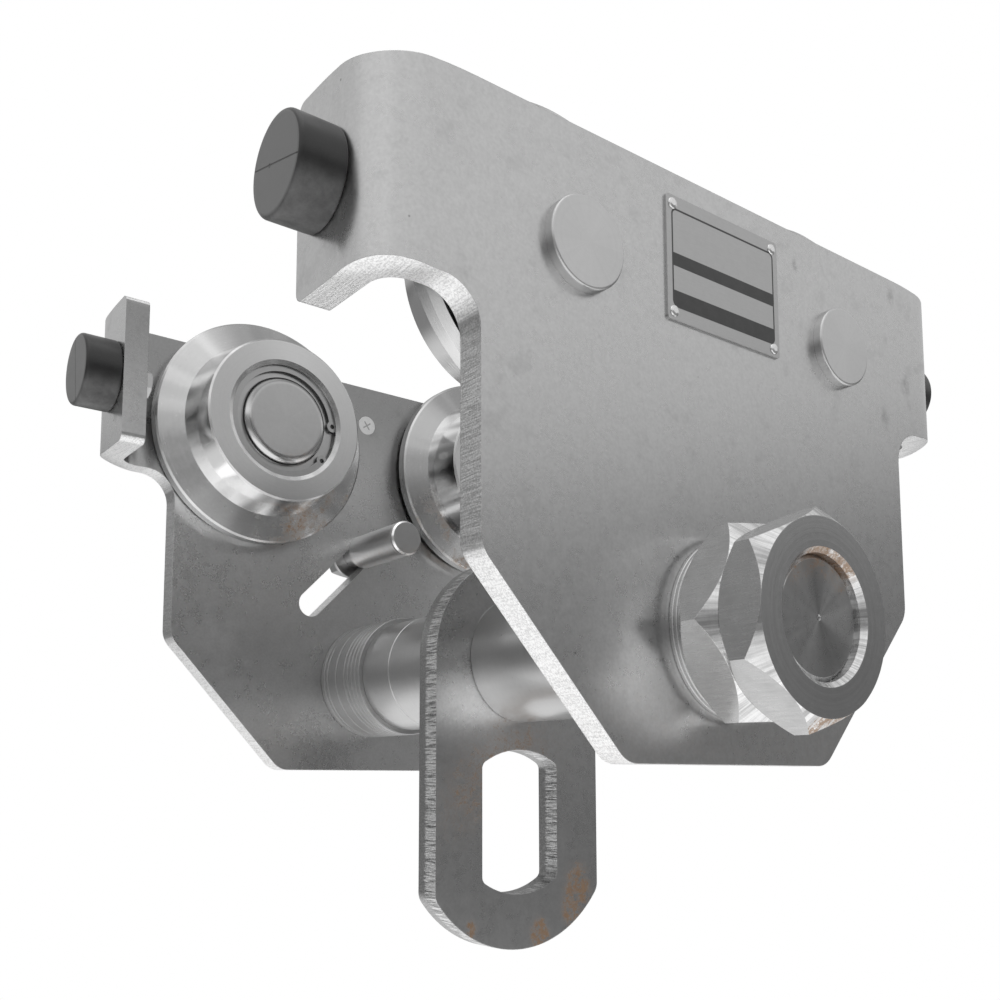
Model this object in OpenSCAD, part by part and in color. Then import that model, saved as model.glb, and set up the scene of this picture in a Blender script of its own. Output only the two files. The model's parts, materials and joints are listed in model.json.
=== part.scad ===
// Manual beam trolley: two side plates with turned-in ears hang from four flanged wheels,
// and a load axle with spacers, washers and lock nuts joins them and carries a swinging hanger plate.
// X is the way of travel along the beam, Y runs across the beam and Z is up.
// The origin is the middle of the four places where the wheels touch the beam flange.
// Front is the side of the nameplate (-Y), back is the side of the guide pin (+Y), left is -X.

/* [Side plates] */
// Thickness of both side plates
plate_t = 12; // [10:0.5:14]
// Width of a side plate below its ears
plate_w = 250; // [235:1:280]
// Height of a side plate
plate_h = 236.3; // [225:0.1:260]
// Width of the flat bottom edge
foot_w = 118.5; // [90:0.5:150]
// Height of the sloping lower corners
slope_h = 71; // [50:1:90]
// Radius that rounds the lower corners
corner_r = 12; // [6:1:20]
// Length of a side plate over its ears
ear_span = 336; // [325:1:360]
// Height of an ear
ear_h = 75; // [65:1:90]
// How far an ear reaches in from the plate's outer face
ear_reach = 52; // [48:1:60]
// Inner radius of an ear's bend
bend_r = 10; // [6:0.5:12]
// How much the bending draws in the sheet's upper edge at a bend
bend_draw = 2.2; // [0.5:0.1:3]
// How much it draws in the ear's lower edge
bend_draw_low = 1.7; // [0.5:0.1:3]
// Radius between an ear and the plate's upright edge
armpit_r = 16; // [8:1:18]
// Radius on the corners of an ear's free end
ear_corner_r = 4; // [1:0.5:6]

/* [Wheels] */
// Distance between the wheels along the beam
wheel_pitch = 157.2; // [146:0.2:166]
// Height of the wheel centres above the plates' bottom edge
wheel_rise = 189.7; // [184:0.1:200]
// Gap between a side plate and a wheel
wheel_gap = 2.6; // [1.5:0.1:4]
// Diameter of the flange
flange_d = 125.6; // [118:0.2:132]
// Width of the flange's rim
rim_w = 9.2; // [6:0.1:10]
// Width of the flange's sloping side face
cone_w = 4.7; // [2:0.1:6]
// Diameter of the tread beside the flange
tread_d = 97; // [90:0.5:104]
// Diameter of the tread at the wheel's face
tread_end_d = 90; // [84:0.5:96]
// Width of the tread
tread_w = 23.5; // [20:0.1:26]
// Chamfer on the wheel's edges
wheel_chamfer = 1; // [0.5:0.1:1.5]
// Chamfer on the flange's edge beside the side plate
flange_chamfer = 2.8; // [1:0.1:3]

/* [Wheel bearings] */
// Outer diameter of the ball bearing
bearing_d = 62; // [58:1:64]
// Bore of the ball bearing, and diameter of the wheel pin
bearing_bore = 30; // [28:1:32]
// Width of the ball bearing
bearing_w = 16; // [14:0.5:17]
// Diameter of a ball
ball_d = 9.5; // [8:0.1:10]
// Number of balls in a bearing
ball_n = 9; // [7:1:10]
// Thickness of the ring that locks the bearing in the wheel
circlip_t = 2; // [1.5:0.1:2.5]
// Depth of that ring below the wheel's face
circlip_depth = 2.5; // [1.5:0.1:3.5]
// Sheet thickness of the dust cap
cap_t = 1.2; // [0.8:0.1:1.6]
// Diameter of the dust cap's dome
cap_dome_d = 49.2; // [44:0.2:52]
// Radius on the edge of the dome
cap_dome_r = 4.7; // [3:0.1:5]

/* [Wheel pins] */
// Diameter of the round head
pin_head_d = 35.7; // [34:0.1:44]
// Height of the round head
pin_head_h = 4.2; // [3:0.1:6]
// How far the pin stands out of the bearing
pin_end = 3; // [2.5:0.1:3.2]

/* [Load axle] */
// Diameter of the load axle
axle_d = 48; // [42:1:50]
// Height of the axle's centre above the plates' bottom edge
axle_rise = 53.6; // [50:0.2:60]
// How far each end of the axle stays below the face of its lock nut
axle_recess = 3.4; // [2:0.1:6]
// Width across flats of the nuts
nut_af = 75; // [70:1:80]
// Height of each nut
nut_h = 19; // [15:0.5:24]
// Height of the bevel at the nuts' corners
nut_bevel = 6.3; // [3:0.1:7]
// Turn of the inner nuts about the axle, in degrees
inner_nut_turn = 2.4; // [0:0.1:60]
// Turn of the lock nuts about the axle, in degrees
lock_nut_turn = 24.3; // [0:0.1:60]

/* [Spacers and washers] */
// Outer diameter of the spacer tubes
spacer_d = 62; // [58:0.5:66]
// Length of the spacers beside the hanger plate
long_spacer_l = 59.5; // [40:0.5:70]
// Length of the spacers beside the washers
short_spacer_l = 27; // [20:0.5:45]
// Outer diameter of the adjusting washers
stack_washer_d = 67.5; // [62:0.5:70]
// Thickness of a thin adjusting washer
thin_washer_t = 4; // [3:0.1:5]
// Thickness of a thick adjusting washer
thick_washer_t = 9.5; // [8:0.1:11]
// Number of thick washers at each side
thick_n = 2; // [1:1:3]
// Number of thin washers at the front side
front_thin_n = 4; // [2:1:6]
// Number of thin washers at the back side
back_thin_n = 6; // [2:1:8]
// Outer diameter of the washers under the nuts
nut_washer_d = 72.6; // [68:0.2:78]
// Thickness of a washer under a nut
nut_washer_t = 2; // [1.5:0.1:3]
// Number of washers under each pair of nuts
nut_washer_n = 3; // [2:1:4]

/* [Hanger plate] */
// Thickness of the hanger plate
hanger_t = 14; // [12:0.5:18]
// Width of the hanger plate
hanger_w = 101; // [94:1:108]
// From the axle's centre down to the middle of the hook slot
hanger_drop = 79.6; // [74:0.2:88]
// Radius of the hanger plate's lower end, about the middle of the slot
hanger_end_r = 61.2; // [58:0.2:66]
// Radius where the lower end meets the sides
hanger_corner_r = 8; // [4:0.5:12]
// Width of the hook slot
hook_slot_w = 47; // [42:0.5:52]
// Height of the hook slot
hook_slot_h = 70; // [62:0.5:74]
// Radius of the slot's arched ends
hook_slot_arch_r = 42; // [36:1:60]
// Radius in the slot's corners
hook_slot_corner_r = 4; // [2:0.5:6]

/* [Guide pin] */
// Diameter of the guide pin's body
guide_d = 20; // [18:0.5:22]
// How far the guide pin stands in from the back plate
guide_l = 49; // [40:1:58]
// Diameter of its shank
guide_shank_d = 14; // [12:0.5:15]
// Clearance of the shank in its slot, all round
guide_play = 0.5; // [0.3:0.1:1]
// Travel of the guide pin along its slot
guide_travel = 50; // [40:1:54]
// Slope of the slot, in degrees
guide_slope = 45; // [35:1:50]
// Place of the slot's upper end along the plate
guide_x = -5.9; // [-14:0.1:0]
// Height of the slot's upper end above the plate's bottom edge
guide_rise = 132.5; // [128:0.1:138]
// Width across flats of the guide pin's nut
guide_nut_af = 22; // [19:1:24]

/* [Bumpers] */
// Diameter of a bumper
bumper_d = 36.2; // [30:0.1:40]
// Height of a bumper
bumper_l = 18.1; // [14:0.1:26]
// Radius on a bumper's edges
bumper_edge_r = 2; // [1:0.1:3]
// From the plate's outer face in to the bumper's centre
bumper_in = 33.4; // [30:0.1:34]
// Diameter of the bumper's bolt
bumper_bolt_d = 8; // [6:1:10]

/* [Nameplate] */
// Width of the nameplate
tag_w = 69; // [60:0.5:70]
// Height of the nameplate
tag_h = 52; // [44:0.5:56]
// Thickness of the nameplate
tag_t = 1; // [0.6:0.1:1.5]
// Place of the nameplate's centre along the plate
tag_x = 0.4; // [-3:0.1:3]
// Height of the nameplate's centre above the plate's bottom edge
tag_rise = 200; // [188:0.5:204]
// From the nameplate's edges in to its rivets
tag_rivet_in = 3.6; // [3:0.1:5]
// Diameter of a rivet's head
tag_rivet_d = 4.8; // [3.5:0.1:5]
// Length of a rivet's shank in the plate
tag_rivet_l = 4; // [2:0.5:8]
// Diameter of the plugged hole in the back plate
plug_d = 11.5; // [8:0.5:12]
// Place of the plugged hole along the plate
plug_x = -4.5; // [-12:0.5:12]
// Height of the plugged hole above the plate's bottom edge
plug_rise = 212.6; // [205:0.2:218]

/* [Hidden] */
$fn = 96;

// Clearances
seat_gap = 0.05; // between stacked washers, and of pins and nuts in their fits
bearing_gap = 0.25; // between the balls and the rings of a bearing
swing_play = 0.08; // radial, of the hanger plate on the axle
side_play = 0.25; // between the hanger plate and the spacers at each side
loose_fit = 0.25; // radial, of spacers, washers and plates on the axle
edge = 0.5; // small chamfer on turned parts

// Washers at each side, listed from the side plate inward
function washers(thin_n) = concat(
    [for (i = [1:2]) thin_washer_t],
    [for (i = [1:thick_n]) thick_washer_t],
    [for (i = [3:1:thin_n]) thin_washer_t]
);
function sum(list, n) = n <= 0 ? 0 : list[n - 1] + sum(list, n - 1);
front_washers = washers(front_thin_n);
back_washers = washers(back_thin_n);
front_stack = sum(front_washers, len(front_washers));
back_stack = sum(back_washers, len(back_washers));

// Across the beam
spacers_l = long_spacer_l + short_spacer_l;
clear_w = front_stack + 2 * spacers_l + hanger_t + 2 * side_play + back_stack;
inner_y = clear_w / 2;
front_end = inner_y - front_stack; // outer ends of the spacers
back_end = inner_y - back_stack;
outer_y = inner_y + plate_t;
hanger_y = -inner_y + front_stack + spacers_l + side_play + hanger_t / 2;
nuts_y = outer_y + nut_washer_n * nut_washer_t;
axle_half_l = nuts_y + 2 * nut_h - axle_recess;

// Heights, from the beam flange on which the treads stand
wheel_z = tread_d / 2;
base_z = wheel_z - wheel_rise;
top_z = base_z + plate_h;
axle_z = base_z + axle_rise;
ear_z = top_z - ear_h;
guide_z = base_z + guide_rise;

// Wheel and bearing, along the wheel's axis from the side plate inward
cone_z = wheel_gap + rim_w;
tread_z = cone_z + cone_w;
face_z = tread_z + tread_w;
flange_r = flange_d / 2;
clip_z = face_z - circlip_depth - circlip_t;
bearing_z = clip_z - cap_t - bearing_w;
bearing_r = bearing_d / 2;
pin_r = bearing_bore / 2;
race_r = (bearing_r + pin_r) / 2;
ring_t = (bearing_r - pin_r) / 4;
shield_in = 0.5;
shield_t = 0.6;
clip_seat = 1.5;
clip_w = 4.6;
clip_half_gap = 21.8; // degrees from the middle of a circlip's opening to each lug
pin_clip_t = 1.5;
pin_clip_half_gap = 14;
pin_l = bearing_z + bearing_w + pin_end;
cap_dome_z = max(clip_z + cap_dome_r, pin_l + cap_t + 0.5);

// Guide pin
guide_dir = [cos(guide_slope), 0, sin(guide_slope)];
guide_slot_r = guide_shank_d / 2 + guide_play;
guide_washer_t = 2.5;
guide_nut_h = 11;

// Ears and bumpers
bend_outer_r = bend_r + plate_t;
flat_half = ear_span / 2 - bend_outer_r;
bumper_z = top_z - ear_h / 2;
bolt_head_h = 5.3;
bolt_washer_t = 1.6;
bolt_in = 12;

SIDES = [-1, 1];

// Corners of an outline that runs anticlockwise. Each is a list: the corner's two tangent points, its centre,
// its radius, its bulge, which is 1 where the outline bulges out and -1 in a notch, and the sharp corner
function unit(v) = v / norm(v);
function cross_z(a, b) = a[0] * b[1] - a[1] * b[0];
function corners(p, r) = [
    for (i = [0:len(p) - 1])
        let (
            before = unit(p[(i + len(p) - 1) % len(p)] - p[i]),
            after = unit(p[(i + 1) % len(p)] - p[i]),
            half = acos(before * after) / 2,
            cut = r[i] / tan(half)
        )
        [
            p[i] + cut * before, p[i] + cut * after,
            p[i] + unit(before + after) * r[i] / sin(half), r[i], sign(cross_z(after, before)), p[i]
        ]
];

// Sector of a rounded corner's circle that lies in the corner
module corner_sector(c) {
    intersection() {
        translate(c[2]) circle(r = c[3]);
        polygon([c[0], c[5], c[1], c[2]]);
    }
}

// Outline with rounded corners: the points, anticlockwise, and one radius for each
module rounded(p, r) {
    list = corners(p, r);
    difference() {
        union() {
            polygon([for (c = list) each c[3] > 0 ? [c[0], c[1]] : [c[0]]]);
            for (c = list) if (c[3] > 0 && c[4] > 0) corner_sector(c);
        }
        for (c = list) if (c[3] > 0 && c[4] < 0) corner_sector(c);
    }
}

// Upright outline between two straight sides, closed below by an arc whose corners are blended:
// half width, height of the top, the arc's centre height and radius, and the blend's radius
module arched(w, top, centre, r, blend) {
    side = w - blend;
    rise = sqrt((r - blend) ^ 2 - side ^ 2);
    translate([-w, centre - rise]) square([2 * w, top - centre + rise]);
    for (s = SIDES) translate([s * side, centre - rise]) circle(r = blend);
    translate([0, centre]) intersection() {
        circle(r = r);
        polygon([[0, 0], 2 * [-side, -rise], 2 * [side, -rise]]);
    }
}

// Puts a part that is drawn along Z, from the side plate inward, at one of the wheels
module at_wheel(side, end) {
    translate([end * wheel_pitch / 2, side * inner_y, wheel_z]) rotate([side * 90, 0, 0]) children();
}

// Puts a part that is drawn along Z, outward from the middle, on the axle
module on_axle(side, y) {
    translate([0, side * y, axle_z]) rotate([-side * 90, 0, 0]) children();
}

// Ring about Z with a small chamfer on its outer edges
module ring(outer_r, inner_r, h, chamfer = edge) {
    rotate_extrude() polygon([
        [inner_r, 0], [outer_r - chamfer, 0], [outer_r, chamfer],
        [outer_r, h - chamfer], [outer_r - chamfer, h], [inner_r, h]
    ]);
}

// Outline of a side plate without the bends and the turned-in ears, seen from the front
module plate_outline() {
    w = plate_w / 2;
    f = foot_w / 2;
    right = [[f, base_z], [w, base_z + slope_h], [w, ear_z], [flat_half, ear_z], [flat_half, top_z]];
    radii = [corner_r, corner_r, armpit_r, 0, 0];
    rounded(
        concat(right, [for (i = [4:-1:0]) [-right[i][0], right[i][1]]]),
        concat(radii, [for (i = [4:-1:0]) radii[i]])
    );
}

// Plan of the band that is bent round at both ends into the ears, with the plate's outer face at 0
module bent_band() {
    half = ear_span / 2;
    inner = half - plate_t;
    open_y = ear_reach + plate_t;
    difference() {
        rounded(
            [[-half, 0], [half, 0], [half, ear_reach], [-half, ear_reach]],
            [bend_outer_r, bend_outer_r, 0, 0]
        );
        rounded(
            [[-inner, plate_t], [inner, plate_t], [inner, open_y], [-inner, open_y]],
            [bend_r, bend_r, 0, 0]
        );
    }
}

// Removes what the bending draws in at the right-hand bend, at an upper edge at height 0. Along the bend's
// diagonal the edge falls from a start to the outer surface, in a smooth arc
module bend_cutter(start, draw) {
    run = bend_outer_r - start;
    r = run ^ 2 / (2 * draw);
    translate([flat_half, bend_outer_r, 0]) rotate([0, 0, -45]) difference() {
        translate([start, -2 * bend_outer_r, -2 * draw])
            cube([run + 5, 4 * bend_outer_r, 2 * draw + 1]);
        translate([start, 0, -r]) rotate([90, 0, 0]) cylinder(r = r, h = 5 * bend_outer_r, center = true);
    }
}

// Side view of the band: reach against height
module ear_outline() {
    rounded(
        [[-plate_t, ear_z], [ear_reach, ear_z], [ear_reach, top_z], [-plate_t, top_z]],
        [0, ear_corner_r, ear_corner_r, 0]
    );
}

module side_plate(side) {
    armpit_x = plate_w / 2 + armpit_r;
    low_start = min((bend_outer_r - flat_half + armpit_x) / sqrt(2), bend_outer_r - 4);
    difference() {
        translate([0, side * outer_y, 0]) mirror([0, side > 0 ? 1 : 0, 0]) difference() {
            union() {
                translate([0, plate_t, 0]) rotate([90, 0, 0]) linear_extrude(plate_t) plate_outline();
                intersection() {
                    translate([0, 0, ear_z]) linear_extrude(ear_h) bent_band();
                    translate([-ear_span, 0, 0]) rotate([90, 0, 90])
                        linear_extrude(2 * ear_span) ear_outline();
                }
            }
            for (flip = [0, 1]) mirror([flip, 0, 0]) {
                translate([0, 0, top_z]) bend_cutter(2, bend_draw);
                translate([0, 0, ear_z]) mirror([0, 0, 1]) bend_cutter(low_start, bend_draw_low);
            }
        }
        for (end = SIDES) {
            at_wheel(side, end) translate([0, 0, -plate_t - 1])
                cylinder(r = pin_r + seat_gap, h = plate_t + 2);
            translate([end * ear_span / 2, side * (outer_y - bumper_in), bumper_z]) rotate([0, 90, 0])
                cylinder(r = bumper_bolt_d / 2 + loose_fit, h = 3 * plate_t, center = true);
        }
        on_axle(side, inner_y - 1) cylinder(r = axle_d / 2 + loose_fit, h = plate_t + 2);
    }
}

module front_side_plate() {
    color("silver") difference() {
        side_plate(-1);
        tag_rivets(0.05, 0);
    }
}

module back_side_plate() {
    color("silver") difference() {
        side_plate(1);
        translate([0, outer_y + 1, 0]) rotate([90, 0, 0]) linear_extrude(plate_t + 2) guide_slot();
        plug_at() cylinder(r = plug_d / 2 + seat_gap, h = plate_t + 2, center = true);
    }
}

// The slanted slot that the guide pin slides in
module guide_slot() {
    low = [guide_x, guide_z] - guide_travel * [guide_dir[0], guide_dir[2]];
    translate(low) rotate(guide_slope) {
        circle(r = guide_slot_r);
        translate([0, -guide_slot_r]) square([guide_travel, 2 * guide_slot_r]);
        translate([guide_travel, 0]) circle(r = guide_slot_r);
    }
}

module plug_at() {
    translate([plug_x, inner_y + plate_t / 2, base_z + plug_rise]) rotate([90, 0, 0]) children();
}

module hole_plug() {
    color("gainsboro") plug_at() cylinder(r = plug_d / 2, h = plate_t + 2 * seat_gap, center = true);
}

module load_axle() {
    tip = 1.9;
    centre_mark = 1.2;
    color("gray") translate([0, 0, axle_z]) rotate([90, 0, 0]) rotate_extrude() polygon([
        [0, -axle_half_l + centre_mark], [centre_mark, -axle_half_l],
        [axle_d / 2 - tip, -axle_half_l], [axle_d / 2, -axle_half_l + tip],
        [axle_d / 2, axle_half_l - tip], [axle_d / 2 - tip, axle_half_l],
        [centre_mark, axle_half_l], [0, axle_half_l - centre_mark]
    ]);
}

// Hexagon nut about Z, with its corners turned down at both faces and a countersunk bore
module nut(af, h, bore_r, sink, bevel) {
    corner = af / sqrt(3);
    beyond = 1;
    difference() {
        intersection() {
            cylinder(r = corner, h = h, $fn = 6);
            rotate_extrude() polygon([
                [0, 0], [af / 2, 0], [corner, bevel], [corner, h - bevel], [af / 2, h], [0, h]
            ]);
        }
        rotate_extrude() polygon([
            [0, -beyond], [bore_r + sink + beyond, -beyond], [bore_r, sink], [bore_r, h - sink],
            [bore_r + sink + beyond, h + beyond], [0, h + beyond]
        ]);
    }
}

// Nut on the axle: order 0 is next to the washers, order 1 is the lock nut outside it
module axle_nut(side, order, angle) {
    color("silver") on_axle(side, nuts_y + order * nut_h) rotate(-side * angle)
        nut(nut_af, nut_h, axle_d / 2 + seat_gap, 2, nut_bevel);
}

module nut_washers(side) {
    color("silver") for (i = [0:nut_washer_n - 1])
        on_axle(side, outer_y + i * nut_washer_t)
            ring(nut_washer_d / 2, axle_d / 2 + loose_fit, nut_washer_t - seat_gap, 0.3);
}

module stack_washers(side, list) {
    color("lightgray") for (i = [0:len(list) - 1])
        on_axle(side, inner_y - sum(list, i + 1))
            ring(stack_washer_d / 2, axle_d / 2 + loose_fit, list[i] - seat_gap);
}

// Spacer tube that ends at a distance from the middle and runs inward from there
module spacer(side, end_y, l) {
    color("darkgray") on_axle(side, end_y - l) ring(spacer_d / 2, axle_d / 2 + loose_fit, l);
}

// Outline of the hanger plate about the axle's centre
module hanger_outline() {
    circle(r = hanger_w / 2);
    arched(hanger_w / 2, 0, -hanger_drop, hanger_end_r, hanger_corner_r);
}

// Outline of the hook slot about its middle
module hook_slot_outline() {
    for (turn = [0, 180]) rotate(turn)
        arched(hook_slot_w / 2, 0, hook_slot_arch_r - hook_slot_h / 2, hook_slot_arch_r, hook_slot_corner_r);
}

module hanger_plate() {
    color("gray") translate([0, hanger_y + hanger_t / 2, axle_z]) rotate([90, 0, 0]) linear_extrude(hanger_t)
        difference() {
            hanger_outline();
            circle(r = axle_d / 2 + swing_play);
            translate([0, -hanger_drop]) hook_slot_outline();
        }
}

module wheel(side, end) {
    c = wheel_chamfer;
    shoulder_r = bearing_r - ring_t;
    bore_chamfer = [2.4, 1.2];
    color("lightgray") at_wheel(side, end) rotate_extrude() polygon([
        [shoulder_r, wheel_gap + c], [shoulder_r + c, wheel_gap],
        [flange_r - flange_chamfer, wheel_gap], [flange_r, wheel_gap + flange_chamfer],
        [flange_r, cone_z - c], [flange_r - c, cone_z],
        [tread_d / 2, tread_z], [tread_end_d / 2, face_z - c], [tread_end_d / 2 - c, face_z],
        [bearing_r + bore_chamfer[0], face_z], [bearing_r, face_z - bore_chamfer[1]],
        [bearing_r, clip_z + circlip_t],
        [bearing_r + clip_seat, clip_z + circlip_t], [bearing_r + clip_seat, clip_z],
        [bearing_r, clip_z], [bearing_r, bearing_z], [shoulder_r, bearing_z]
    ]);
}

module wheel_pin(side, end) {
    r = pin_head_d / 2;
    head_r = 1;
    groove_r = pin_r - 0.7;
    groove_z = bearing_z + bearing_w;
    color("silver") at_wheel(side, end) rotate_extrude() {
        translate([0, -plate_t - pin_head_h])
            rounded([[0, 0], [r, 0], [r, pin_head_h], [0, pin_head_h]], [0, head_r, 0, 0]);
        polygon([
            [0, -plate_t - pin_head_h / 2], [pin_r, -plate_t - pin_head_h / 2],
            [pin_r, groove_z], [groove_r, groove_z], [groove_r, groove_z + pin_clip_t],
            [pin_r, groove_z + pin_clip_t], [pin_r, pin_l - edge], [pin_r - edge, pin_l], [0, pin_l]
        ]);
    }
}

module race() {
    rotate_extrude() translate([race_r, bearing_w / 2]) circle(r = ball_d / 2 + bearing_gap);
}

// Outer ring with the two thin shields that close the bearing almost to its inner ring
module outer_ring(side, end) {
    bore_r = bearing_r - ring_t;
    color("silver") at_wheel(side, end) translate([0, 0, bearing_z]) {
        difference() {
            ring(bearing_r - seat_gap, bore_r, bearing_w);
            race();
        }
        for (z = [shield_in, bearing_w - shield_in - shield_t]) translate([0, 0, z])
            ring(bore_r + ring_t / 4, pin_r + ring_t + bearing_gap, shield_t, 0);
    }
}

module inner_ring(side, end) {
    color("silver") at_wheel(side, end) translate([0, 0, bearing_z]) difference() {
        ring(pin_r + ring_t, pin_r + seat_gap, bearing_w);
        race();
    }
}

module ball_cage(side, end) {
    band = 0.8;
    color("silver") at_wheel(side, end) translate([0, 0, bearing_z + bearing_w / 2]) {
        translate([0, 0, -ball_d / 3]) ring(race_r + band, race_r - band, ball_d * 2 / 3, band / 4);
        for (i = [0:ball_n - 1])
            rotate(i * 360 / ball_n) translate([race_r, 0, 0]) sphere(d = ball_d, $fn = 64);
    }
}

// Spring ring with two eared ends, open about the +X direction
module eared_ring(outer_r, inner_r, t, eye_r, eye_at, half_gap) {
    difference() {
        union() {
            difference() {
                cylinder(r = outer_r, h = t);
                translate([0, 0, -1]) cylinder(r = inner_r, h = t + 2);
                translate([0, 0, -1]) linear_extrude(t + 2) polygon([
                    [0, 0], 2 * outer_r * [cos(half_gap), -sin(half_gap)],
                    2 * outer_r * [1, 0], 2 * outer_r * [cos(half_gap), sin(half_gap)]
                ]);
            }
            for (s = SIDES) rotate(s * half_gap) translate([eye_at, 0, 0])
                cylinder(r = eye_r, h = t, $fn = 32);
        }
        for (s = SIDES) rotate(s * half_gap) translate([eye_at, 0, -1])
            cylinder(r = eye_r * 0.4, h = t + 2, $fn = 24);
    }
}

module circlip(side, end, angle) {
    outer_r = bearing_r + clip_seat - 0.2;
    eye_r = 3.2;
    eye_at = bearing_r - eye_r + 1.6;
    t = circlip_t - 2 * seat_gap;
    color("silver") at_wheel(side, end) translate([0, 0, clip_z + seat_gap]) rotate(angle)
        eared_ring(outer_r, outer_r - clip_w, t, eye_r, eye_at, clip_half_gap);
}

module pin_circlips() {
    inner_r = pin_r - 0.6;
    band = 3;
    eye_r = 1.8;
    eye_at = inner_r + band * 0.8;
    t = pin_clip_t - 2 * seat_gap;
    color("silver") for (side = SIDES, end = SIDES)
        at_wheel(side, end) translate([0, 0, bearing_z + bearing_w + seat_gap]) rotate(90 * end)
            eared_ring(inner_r + band, inner_r, t, eye_r, eye_at, pin_clip_half_gap);
}

module pin_spacers() {
    color("darkgray") for (side = SIDES, end = SIDES)
        at_wheel(side, end) ring(pin_r + ring_t, pin_r + seat_gap, bearing_z);
}

// Profile of the dust cap's dome, from the sheet's foot up, set back by the sheet's thickness or not
module dome_profile(foot, set_back) {
    r = cap_dome_d / 2 - set_back;
    top = cap_dome_z - set_back;
    rounded([[0, foot], [r, foot], [r, top], [0, top]], [0, 0, cap_dome_r - set_back, 0]);
}

module dust_cap(side, end) {
    flange = bearing_r - 2 * seat_gap;
    color("silver") at_wheel(side, end) rotate_extrude() difference() {
        union() {
            translate([0, clip_z - cap_t]) square([flange, cap_t]);
            dome_profile(clip_z - cap_t, 0);
        }
        dome_profile(clip_z - 2 * cap_t, cap_t);
    }
}

// Puts a part that is drawn along Z, outward from the ear's outer face, at a bumper's place
module at_bumper(side, end) {
    translate([end * ear_span / 2, side * (outer_y - bumper_in), bumper_z])
        rotate([0, end * 90, 0]) children();
}

module bumper(side, end) {
    r = bumper_d / 2;
    foot_r = bumper_edge_r / 2;
    color([0.13, 0.13, 0.13]) at_bumper(side, end) difference() {
        rotate_extrude()
            rounded([[0, 0], [r, 0], [r, bumper_l], [0, bumper_l]], [0, foot_r, bumper_edge_r, 0]);
        translate([0, 0, -1]) cylinder(r = bumper_bolt_d / 2 + seat_gap, h = bolt_in + 2);
    }
}

module bumper_bolts() {
    color("silver") for (side = SIDES, end = SIDES) at_bumper(side, end) {
        translate([0, 0, -plate_t - bolt_washer_t - bolt_head_h]) {
            nut_blank(1.625 * bumper_bolt_d, bolt_head_h);
            cylinder(r = bumper_bolt_d / 2, h = bolt_head_h + bolt_washer_t + plate_t + bolt_in);
        }
    }
}

// Hexagon bolt head about Z, turned down at its lower face
module nut_blank(af, h) {
    corner = af / sqrt(3);
    low_r = corner - 0.8;
    intersection() {
        cylinder(r = corner, h = h, $fn = 6);
        cylinder(r1 = low_r, r2 = low_r + 2 * h, h = h);
    }
}

module bumper_washers() {
    color("silver") for (side = SIDES, end = SIDES) at_bumper(side, end)
        translate([0, 0, -plate_t - bolt_washer_t])
            ring(bumper_bolt_d, bumper_bolt_d / 2 + seat_gap, bolt_washer_t, 0.2);
}

// Puts a part that is drawn along Z, outward from the middle, on the guide pin's axis
module at_guide(y) {
    translate([guide_x, y, guide_z]) rotate([-90, 0, 0]) children();
}

module guide_pin() {
    r = guide_d / 2;
    s = guide_shank_d / 2;
    groove = 0.7;
    tail = plate_t + guide_washer_t + guide_nut_h + 2;
    color("silver") at_guide(inner_y) rotate_extrude() polygon([
        [0, -guide_l], [r - 1, -guide_l], [r, -guide_l + 1], [r, -guide_l + 1.7],
        [r - groove, -guide_l + 1.9], [r - groove, -guide_l + 2.4], [r, -guide_l + 2.6],
        [r, -seat_gap], [s, -seat_gap], [s, tail - 1], [s - 1, tail], [0, tail]
    ]);
}

module guide_pin_washer() {
    color("silver") at_guide(outer_y + seat_gap)
        ring(guide_shank_d, guide_shank_d / 2 + seat_gap, guide_washer_t - seat_gap, 0.3);
}

module guide_pin_nut() {
    color("silver") at_guide(outer_y + guide_washer_t) rotate(10)
        nut(guide_nut_af, guide_nut_h, guide_shank_d / 2 + seat_gap, 0.8, 1);
}

module nameplate() {
    corner = 1.5;
    w = tag_w / 2;
    h = tag_h / 2;
    color("dimgray") difference() {
        translate([tag_x, -outer_y, base_z + tag_rise]) rotate([90, 0, 0]) linear_extrude(tag_t)
            rounded([[w, -h], [w, h], [-w, h], [-w, -h]], [corner, corner, corner, corner]);
        tag_rivets(0.05, -1);
    }
}

// The four rivets, or the holes for them: grow widens the shank, and a head below 0 is left out
module tag_rivets(grow, head) {
    r = tag_rivet_d / 2;
    from_x = tag_w / 2 - tag_rivet_in;
    from_z = tag_h / 2 - tag_rivet_in;
    for (i = SIDES, j = SIDES)
        translate([tag_x + i * from_x, -outer_y - tag_t, base_z + tag_rise + j * from_z])
            rotate([90, 0, 0]) {
                translate([0, 0, -tag_t - tag_rivet_l - grow])
                    cylinder(r = r / 2 + grow, h = tag_t + tag_rivet_l + 2 * grow, $fn = 24);
                if (head > 0) rotate_extrude($fn = 32)
                    polygon([[0, 0], [r, 0], [r - 0.3, head * 0.6], [r / 2, head], [0, head]]);
            }
}

module nameplate_rivets() {
    color("silver") tag_rivets(0, 0.8);
}

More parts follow.
